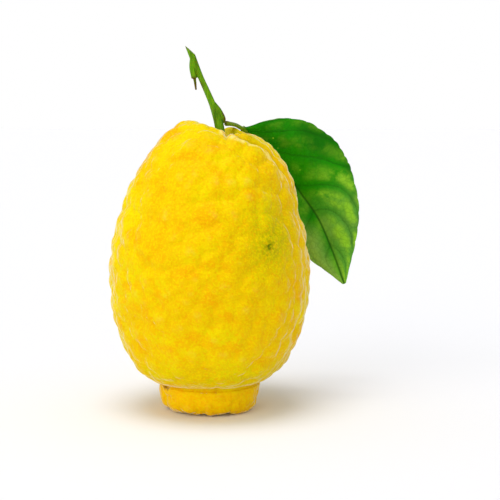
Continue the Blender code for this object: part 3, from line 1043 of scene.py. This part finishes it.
@dataclass(frozen=True)
class Twig:
    """A tapering round twig along a line, with blunt ends and fine ribs."""

    line: tuple[StemPoint, ...]
    steps: int = 10
    sides: int = 40
    bluntness: float = 0.4
    rib_count: int = 0
    rib_height: float = 0.0

    def add_to(self, bm: bmesh.types.BMesh) -> None:
        """Adds the twig to a bmesh, as a ball whose rings are drawn out along the line.

        Args:
            bm: the bmesh, in mm.
        """
        line = [(p.x, p.y, p.z, p.radius) for p in self.line]
        rows = smooth_path(line, [self.steps] * (len(line) - 1))
        places = [Vector(row[:3]) for row in rows]
        last = len(rows) + 1
        ball = bmesh.ops.create_uvsphere(bm, u_segments=self.sides, v_segments=last, radius=1.0)
        for vert in ball["verts"]:
            latitude = math.asin(max(-1.0, min(1.0, vert.co.z)))
            ring = round((latitude / math.pi + 0.5) * last) - 1
            k = min(max(ring, 0), len(rows) - 1)
            tangent = (places[min(k + 1, len(rows) - 1)] - places[max(k - 1, 0)]).normalized()
            across = tangent.cross(Vector((0.0, 1.0, 0.0))).normalized()
            turn = math.atan2(vert.co.y, vert.co.x)
            radius = rows[k][3] + self.rib_height * math.cos(self.rib_count * turn)
            outward = across * math.cos(turn) + tangent.cross(across) * math.sin(turn)
            if ring == k:
                vert.co = places[k] + outward * radius
            else:
                vert.co = places[k] + tangent * (self.bluntness * radius * (ring - k))


STALK_LINE = (
    StemPoint(6.6, 1.0, 134.8, 3.1),
    StemPoint(6.0, 1.0, 138.2, 2.5),
    StemPoint(5.2, 1.2, 143.4, 2.3),
    StemPoint(3.4, 1.4, 149.9, 2.0),
    StemPoint(1.4, 1.6, 155.2, 1.65),
    StemPoint(-1.2, 1.8, 161.2, 1.5),
    StemPoint(-3.8, 2.0, 167.0, 1.4),
    StemPoint(-6.0, 2.2, 172.4, 1.5),
    StemPoint(-7.8, 2.4, 177.0, 1.6),
    StemPoint(-10.6, 2.6, 184.6, 1.6),
)
NODE_LINE = (
    StemPoint(2.6, 1.6, 154.6, 0.9),
    StemPoint(5.0, 1.9, 150.4, 1.6),
    StemPoint(6.6, 2.3, 147.0, 1.7),
    StemPoint(7.2, 2.6, 144.9, 1.2),
)
STUB_LINE = (
    StemPoint(-8.5, 2.3, 177.2, 0.9),
    StemPoint(-8.1, 2.1, 172.0, 1.6),
    StemPoint(-7.2, 2.0, 167.0, 1.5),
)
STUB_TIP_LINE = (
    StemPoint(-7.2, 2.0, 167.8, 0.8),
    StemPoint(-6.8, 2.0, 164.6, 0.65),
    StemPoint(-6.4, 2.0, 161.2, 0.45),
)
PETIOLE_LINE = (
    StemPoint(8.7, 3.5, 144.4, 1.3),
    StemPoint(11.0, 7.2, 144.0, 1.05),
    StemPoint(13.2, 12.8, 143.3, 1.0),
    StemPoint(15.6, 18.6, 141.8, 1.05),
    StemPoint(18.4, 23.8, 139.8, 1.1),
    StemPoint(21.4, 26.8, 137.0, 0.9),
)


def write_bark_masks(bm: bmesh.types.BMesh, stains: Sequence[Stain], dark_side: Vector) -> None:
    """Writes the masks that the bark's finish reads: brown in the stains, and shade on the dark side.

    Args:
        bm: the stem, in mm.
        stains: the brown places.
        dark_side: the direction to which the dark side looks.
    """
    brown, shade = (bm.verts.layers.float.new(name) for name in STEM_MASKS)
    bm.normal_update()
    for vert in bm.verts:
        aways = [(s, (vert.co - Vector(s.place)).length) for s in stains]
        vert[brown] = max(1.0 - smooth_step(s.inner, s.outer, away) for s, away in aways)
        vert[shade] = smooth_step(*STEM_SHADE, vert.normal.dot(dark_side))


@dataclass
class CutStalk(SubAssembly):
    """The stalk: rod, leaf base, stub and dry point grown into one skin, with a slanting cut on top."""

    node: ClassVar[str] = "stalk"
    slot: ClassVar[Slot] = Slot.STALK
    bark: GreenBark = field(default_factory=GreenBark)
    wood: CutWood = field(default_factory=CutWood)
    voxel: float = 0.2
    smoothings: int = 3
    cut_normal: Vector = field(default_factory=lambda: Vector((0.66, -0.1, 0.75)))
    foot_height: float = CAVITY_FLOOR + CALYX_THICKNESS + 2 * CLEARANCE
    rim_width: float = 0.3
    rim_depth: float = 0.12
    stains: tuple[Stain, ...] = (
        Stain((8.0, 2.4, 146.6), 0.8, 2.6),
        Stain((7.4, 1.6, 149.2), 0.3, 2.0),
        Stain((-6.5, 2.0, 162.0), 2.0, 5.6),
        Stain((-7.6, 1.0, 166.4), 0.3, 2.4),
        Stain((-10.6, 2.5, 182.2), 0.4, 1.6),
        Stain((9.0, 1.0, 137.2), 0.6, 3.0),
    )

    def build(self) -> list[Piece]:
        """Grows the twigs together, cuts them and writes their masks.

        Returns:
            The stalk alone.
        """
        bm = bmesh.new()
        Twig(STALK_LINE, sides=64, rib_count=5, rib_height=0.1).add_to(bm)
        for line in (NODE_LINE, STUB_LINE, STUB_TIP_LINE):
            Twig(line).add_to(bm)
        bmesh.ops.recalc_face_normals(bm, faces=bm.faces)
        raw = as_object("raw_stalk", bm, scale=1.0)
        fuse = raw.modifiers.new("fuse", "REMESH")
        fuse.mode = "VOXEL"
        fuse.voxel_size = self.voxel
        bm = with_modifiers(raw)
        for _ in range(self.smoothings):
            bmesh.ops.smooth_vert(
                bm, verts=bm.verts, factor=0.5, use_axis_x=True, use_axis_y=True, use_axis_z=True
            )
        self.cut(bm, Vector((0.0, 0.0, self.foot_height)), Vector((0.0, 0.0, -1.0)))
        face = self.cut(bm, Vector(self.wood.centre), self.cut_normal)
        core = bmesh.ops.inset_region(bm, faces=[face], thickness=self.rim_width, depth=-self.rim_depth)
        for rim in (face, *core["faces"]):
            rim.material_index = 1
            rim.smooth = False
        write_bark_masks(bm, self.stains, Vector((1.0, 0.0, 0.0)))
        return [as_object("stalk_bark", bm)]

    def cut(self, bm: bmesh.types.BMesh, place: Vector, normal: Vector) -> bmesh.types.BMFace:
        """Cuts off what lies beyond a plane and closes the cut.

        Args:
            bm: the stalk.
            place: a point of the plane.
            normal: the side that goes.

        Returns:
            The face that closes the cut.
        """
        geometry = [*bm.verts, *bm.edges, *bm.faces]
        halves = bmesh.ops.bisect_plane(bm, geom=geometry, plane_co=place, plane_no=normal, clear_outer=True)
        rim = [item for item in halves["geom_cut"] if isinstance(item, bmesh.types.BMEdge)]
        closed = bmesh.ops.edgeloop_fill(bm, edges=rim)["faces"]
        return max(closed, key=lambda face: face.calc_area())

    def dress(self, pieces: list[Piece]) -> None:
        """Gives the stalk its bark and its cut face."""
        pieces[0].data.materials.append(self.bark.material())
        pieces[0].data.materials.append(self.wood.material())


@dataclass(frozen=True)
class MidribPoint:
    """A point of the leaf's midrib. facing is the azimuth to which the underside looks."""

    x: float
    y: float
    z: float
    facing: float


MIDRIB_LINE = (
    MidribPoint(16.9, 22.2, 141.2, 26.0),
    MidribPoint(29.9, 33.0, 129.2, 23.0),
    MidribPoint(39.9, 38.0, 117.2, 20.0),
    MidribPoint(47.5, 39.4, 106.4, 16.0),
    MidribPoint(56.8, 40.6, 92.9, 13.0),
    MidribPoint(64.3, 38.6, 75.9, 10.0),
    MidribPoint(70.5, 33.6, 58.9, 8.0),
)
BLADE_OUTLINE = (
    (0.0, 0.03),
    (0.035, 0.36),
    (0.11, 0.7),
    (0.2, 0.9),
    (0.36, 1.0),
    (0.5, 0.97),
    (0.64, 0.81),
    (0.82, 0.46),
    (0.93, 0.19),
    (1.0, 0.03),
)


@dataclass
class LeafBlade(SubAssembly):
    """The leaf: a thin, toothed and quilted blade with a raised midrib below, and its petiole.

    The blade carries the masks that its finish reads: roughly the mm along it, the mm across it, the side
    veins' count at each place, the painted sheen where it is lighter, and streak where it is yellow-green.
    """

    node: ClassVar[str] = "leaf"
    slot: ClassVar[Slot] = Slot.LEAF
    masks: ClassVar[tuple[str, ...]] = ("along", "across", "veins", "painted_sheen", "streak")
    upper: LeafFace = LeafFace(
        name="waxed_leaf_upper",
        ground="#229000",
        light="#90BC54",
        bright="#8CC82A",
        deep="#136002",
        vein="#1B5204",
        roughness=(0.34, 0.46),
        specular=0.05,
    )
    under: LeafFace = LeafFace(
        name="dull_leaf_underside",
        ground="#6E9A45",
        light="#7FAA54",
        bright="#8CB35C",
        deep="#628E3C",
        vein="#A3BE72",
        roughness=(0.55, 0.7),
        specular=0.2,
    )
    bark: GreenBark = GreenBark(
        name="petiole_bark", ground="#648E06", dark="#4C6604", light="#84A414", brown="#5B4A1F", lean=50.0
    )
    rows_per_span: int = 40
    columns: int = 110
    crowding: float = 1.4
    length: float = 112.0
    half_width: float = 31.0
    thickness: float = 0.55
    midrib_thickness: float = 1.9
    midrib_half_width: float = 1.2
    midrib_taper: float = 0.75
    fold: float = 6.0
    roll: float = 9.0
    roll_power: float = 2.5
    tooth_count: int = 18
    tooth_depth: float = 0.5
    tooth_power: float = 0.6
    tooth_level: float = 0.7
    vein_pairs: int = 5
    vein_depth: float = 1.0
    vein_power: float = 0.7
    vein_slant: float = 0.95
    vein_arch: float = 0.7
    vein_wobble: float = 0.35
    wobbles: float = 3.0
    quilt_begin: float = 4.0
    pillow_size: float = 4.5
    pillow_height: float = 0.22
    # where painted sheen lightens the blade, and where the yellow-green streak runs
    lower_half: Span = (0.2, 0.55)
    tip_part: Span = (0.5, 0.75)
    margin: Span = (0.4, 0.95)
    margin_at_tip: Span = (-0.1, 0.65)
    outer_streak: float = 0.2
    inner_sheen: float = 0.4
    streak_part: Span = (0.36, 0.6)
    streak_side: Span = (0.1, 0.4)
    petiole_stains: tuple[Stain, ...] = (
        Stain((8.4, 3.0, 145.6), 0.2, 2.4),
        Stain((19.0, 24.4, 139.2), 0.3, 1.6),
    )
    outline: SmoothCurve = field(default_factory=lambda: SmoothCurve(*zip(*BLADE_OUTLINE)))

    def width_at(self, along: float) -> float:
        """Gives the blade's half width, with its teeth, at a share of its length."""
        share = self.outline(along)
        tooth = abs(math.sin(math.pi * self.tooth_count * along)) ** self.tooth_power - self.tooth_level
        return self.half_width * share + self.tooth_depth * tooth * min(1.0, 2.0 * share)

    def veins_at(self, along: float, side: float) -> float:
        """Counts the side veins up to a place, so that each vein runs where the count is whole."""
        spread = abs(side)
        straying = self.vein_wobble * noise.noise(Vector((along, 0.5 * side, 0.0)) * self.wobbles)
        return self.vein_pairs * along - self.vein_slant * spread - self.vein_arch * spread**3 + straying

    def rise(self, along: float, side: float, width: float) -> float:
        """Tells how far the blade rises above the midrib's line.

        Args:
            along: the share of its length.
            side: the share of its half width, below 0 on one side.
            width: its half width there.

        Returns:
            The rise in mm.
        """
        spread = abs(side)
        fold = self.fold * spread - self.roll * spread**self.roll_power
        quilt = abs(math.sin(math.pi * self.veins_at(along, side))) ** self.vein_power - 0.5
        quilt *= self.vein_depth * min(1.0, self.quilt_begin * spread)
        return (fold + quilt) * width / self.half_width

    def sheen_and_streak(self, along: float, side: float) -> tuple[float, float]:
        """Tells how light and how yellow-green the blade is at a place.

        Args:
            along: the share of its length.
            side: the share of its half width, below 0 on the side away from the fruit.

        Returns:
            The painted sheen and the streak, each from 0 to 1.
        """
        lower = smooth_step(*self.lower_half, along)
        tip = smooth_step(*self.tip_part, along)
        if side < 0.0:
            begin, full = (a + (b - a) * tip for a, b in zip(self.margin, self.margin_at_tip))
            return lower * smooth_step(begin, full, -side), self.outer_streak * lower
        streak = smooth_step(*self.streak_part, along) * smooth_step(*self.streak_side, side)
        return self.inner_sheen * tip, streak

    def frames(self) -> list[tuple[Vector, Vector, Vector]]:
        """Gives place, cross direction and upward direction of the blade at each of its rows."""
        line = [(p.x, p.y, p.z, p.facing) for p in MIDRIB_LINE]
        rows = smooth_path(line, [self.rows_per_span] * (len(line) - 1))
        found = []
        for k, (x, y, z, facing) in enumerate(rows):
            ahead = Vector(rows[min(k + 1, len(rows) - 1)][:3])
            behind = Vector(rows[max(k - 1, 0)][:3])
            along = (ahead - behind).normalized()
            outward = Vector((math.sin(math.radians(facing)), math.cos(math.radians(facing)), 0.0))
            across = along.cross(outward).normalized()
            found.append((Vector((x, y, z)), across, along.cross(across).normalized()))
        return found

    def build_blade(self) -> Piece:
        """Builds the blade from a grid, and gives it its thickness below.

        Returns:
            The blade.
        """
        frames = self.frames()
        rows = len(frames) - 1
        bm = bmesh.new()
        layers = [bm.verts.layers.float.new(name) for name in self.masks]
        bmesh.ops.create_grid(bm, x_segments=rows, y_segments=self.columns, size=1.0)
        thickness = []
        for vert in bm.verts:
            along = 0.5 * (vert.co.x + 1.0)
            side = math.copysign(abs(vert.co.y) ** self.crowding, vert.co.y)
            place, across, upward = frames[round(along * rows)]
            width = self.width_at(along)
            off = side * width
            spot = Vector((along * self.length, off, 0.0)) / self.pillow_size
            pillow = self.pillow_height * noise.noise(spot) * abs(side)
            vert.co = place + across * off + upward * (self.rise(along, side, width) + pillow)
            rib = math.exp(-((off / self.midrib_half_width) ** 2)) * (1.0 - self.midrib_taper * along)
            thickness.append(self.thickness + (self.midrib_thickness - self.thickness) * rib)
            values = (along * self.length, off, self.veins_at(along, side), *self.sheen_and_streak(along, side))
            for layer, value in zip(layers, values):
                vert[layer] = value
        blade = as_object("leaf_blade", bm)
        group = blade.vertex_groups.new(name="thickness")
        for index, thick in enumerate(thickness):
            group.add([index], thick / self.midrib_thickness, "REPLACE")
        solid = blade.modifiers.new("thickness", "SOLIDIFY")
        solid.thickness = self.midrib_thickness * MM
        solid.offset = -1.0
        solid.vertex_group = group.name
        solid.material_offset = 1
        solid.material_offset_rim = 1
        return blade

    def build_petiole(self) -> Piece:
        """Builds the petiole and writes its masks.

        Returns:
            The petiole.
        """
        bm = bmesh.new()
        Twig(PETIOLE_LINE, sides=48, rib_count=3, rib_height=0.05).add_to(bm)
        bmesh.ops.recalc_face_normals(bm, faces=bm.faces)
        write_bark_masks(bm, self.petiole_stains, Vector((0.0, 0.0, -1.0)))
        return as_object("leaf_petiole", bm)

    def build(self) -> list[Piece]:
        """Builds the blade and the petiole."""
        return [self.build_blade(), self.build_petiole()]

    def dress(self, pieces: list[Piece]) -> None:
        """Gives the blade its two faces and the petiole its bark."""
        blade, petiole = pieces
        blade.data.materials.append(self.upper.material())
        blade.data.materials.append(self.under.material())
        petiole.data.materials.append(self.bark.material())


# The studio


@dataclass(frozen=True)
class SoftLight:
    """A wide soft light far from the fruit.

    direction points from the fruit to the light, spread is how wide the light looks from there, and
    strength is what it gives to a surface that faces it, in watts for each square metre.
    """

    name: str
    direction: tuple[float, float, float]
    spread: float
    strength: float
    colour: str


@dataclass
class Studio:
    """A pale floor between low white walls under a soft grey ceiling, and the photographer's camera."""

    aim: Vector = field(default_factory=lambda: Vector((20.5, 0.0, 81.0)))
    distance: float = 700.0
    elevation: float = 7.0
    lens: float = 100.0
    floor_width: float = 8000.0
    floor_drop: float = 0.05
    floor_colour: str = "#F2F2F5"
    floor_roughness: Span = (0.9, 0.95)
    wall_colour: str = "#FFFFFF"
    wall_full: float = 0.08
    wall_end: float = 0.3
    ceiling_colour: str = "#C4C4C4"
    lights: tuple[SoftLight, ...] = (
        SoftLight("top_light", (-0.1, -0.15, 1.0), 34.0, 1.45, "#FFFFFF"),
        SoftLight("key_light", (-0.7, -0.9, 0.45), 50.0, 0.95, "#FFFEFA"),
    )

    def build_floor(self) -> None:
        """Lays the floor: a matt white board, which takes soft shadows and mirrors nothing."""
        bm = bmesh.new()
        bmesh.ops.create_grid(bm, x_segments=8, y_segments=8, size=0.5 * self.floor_width)
        bmesh.ops.translate(bm, verts=bm.verts, vec=(0.0, 0.0, -self.floor_drop))
        floor = as_object("studio_floor", bm)
        paint = SurfacePainter("matt_studio_board", Specular_IOR_Level=0.1)
        grain = paint.patches(6.0, 0.3, 0.7)
        colour = paint.colour(self.floor_colour, [Wash("#FFFFFF", 0.02, (grain,))])
        floor.data.materials.append(
            paint.finish(colour, grain, self.floor_roughness, paint.bump([(grain, 0.001)]))
        )

    def light_room(self) -> None:
        """Paints the room, white low down and grey overhead, and sets the soft lights."""
        room = bpy.data.worlds.new("studio_room")
        room.use_nodes = True
        tree = room.node_tree
        looking = add_node(tree, "TexCoord", {}).outputs["Generated"]
        upward = add_node(tree, "SeparateXYZ", {0: looking}).outputs["Z"]
        inputs: Inputs = {"Value": upward, "From Min": self.wall_full, "From Max": self.wall_end}
        share = add_node(tree, "MapRange", inputs, **SOFT).outputs["Result"]
        colours = {0: share, 6: linear(self.wall_colour), 7: linear(self.ceiling_colour)}
        painted = add_node(tree, "Mix", colours, data_type="RGBA").outputs[2]
        tree.links.new(painted, tree.nodes["Background"].inputs["Color"])
        bpy.context.scene.world = room
        for light in self.lights:
            lamp = bpy.data.lights.new(light.name, "SUN")
            lamp.angle = math.radians(light.spread)
            lamp.energy = light.strength
            lamp.color = linear(light.colour)[:3]
            holder = bpy.data.objects.new(light.name, lamp)
            place = self.aim + self.distance * Vector(light.direction).normalized()
            holder.location = place * MM
            holder.rotation_euler = self.turned_to(place)
            bpy.context.scene.collection.objects.link(holder)

    def turned_to(self, place: Vector) -> Euler:
        """Gives the turn with which something at a place looks at the aim."""
        return (self.aim - place).to_track_quat("-Z", "Y").to_euler()

    def set_camera(self) -> None:
        """Sets up the camera."""
        lift = math.radians(self.elevation)
        place = self.aim + self.distance * Vector((0.0, -math.cos(lift), math.sin(lift)))
        camera = bpy.data.cameras.new("photographer")
        camera.lens = self.lens
        holder = bpy.data.objects.new("photographer", camera)
        holder.location = place * MM
        holder.rotation_euler = self.turned_to(place)
        bpy.context.scene.collection.objects.link(holder)
        bpy.context.scene.camera = holder
        bpy.context.scene.view_settings.view_transform = "Standard"

    def make(self) -> None:
        """Sets the floor, the lights and the camera."""
        self.build_floor()
        self.light_room()
        self.set_camera()
        LOG.info("studio: %d soft lights", len(self.lights))


def main() -> None:
    """Builds the citron's pieces and the studio in order."""
    logging.basicConfig(level=logging.INFO, format="%(message)s")
    assemblies: tuple[SubAssembly, ...] = (FruitSkin(), CalyxButton(), CutStalk(), LeafBlade())
    for assembly in assemblies:
        assembly.make()
    left = sorted(set(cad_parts) - {assembly.node for assembly in assemblies})
    LOG.info("nodes shown as they are: %s", left or "none")
    Studio().make()


if __name__ == "__main__":
    main()
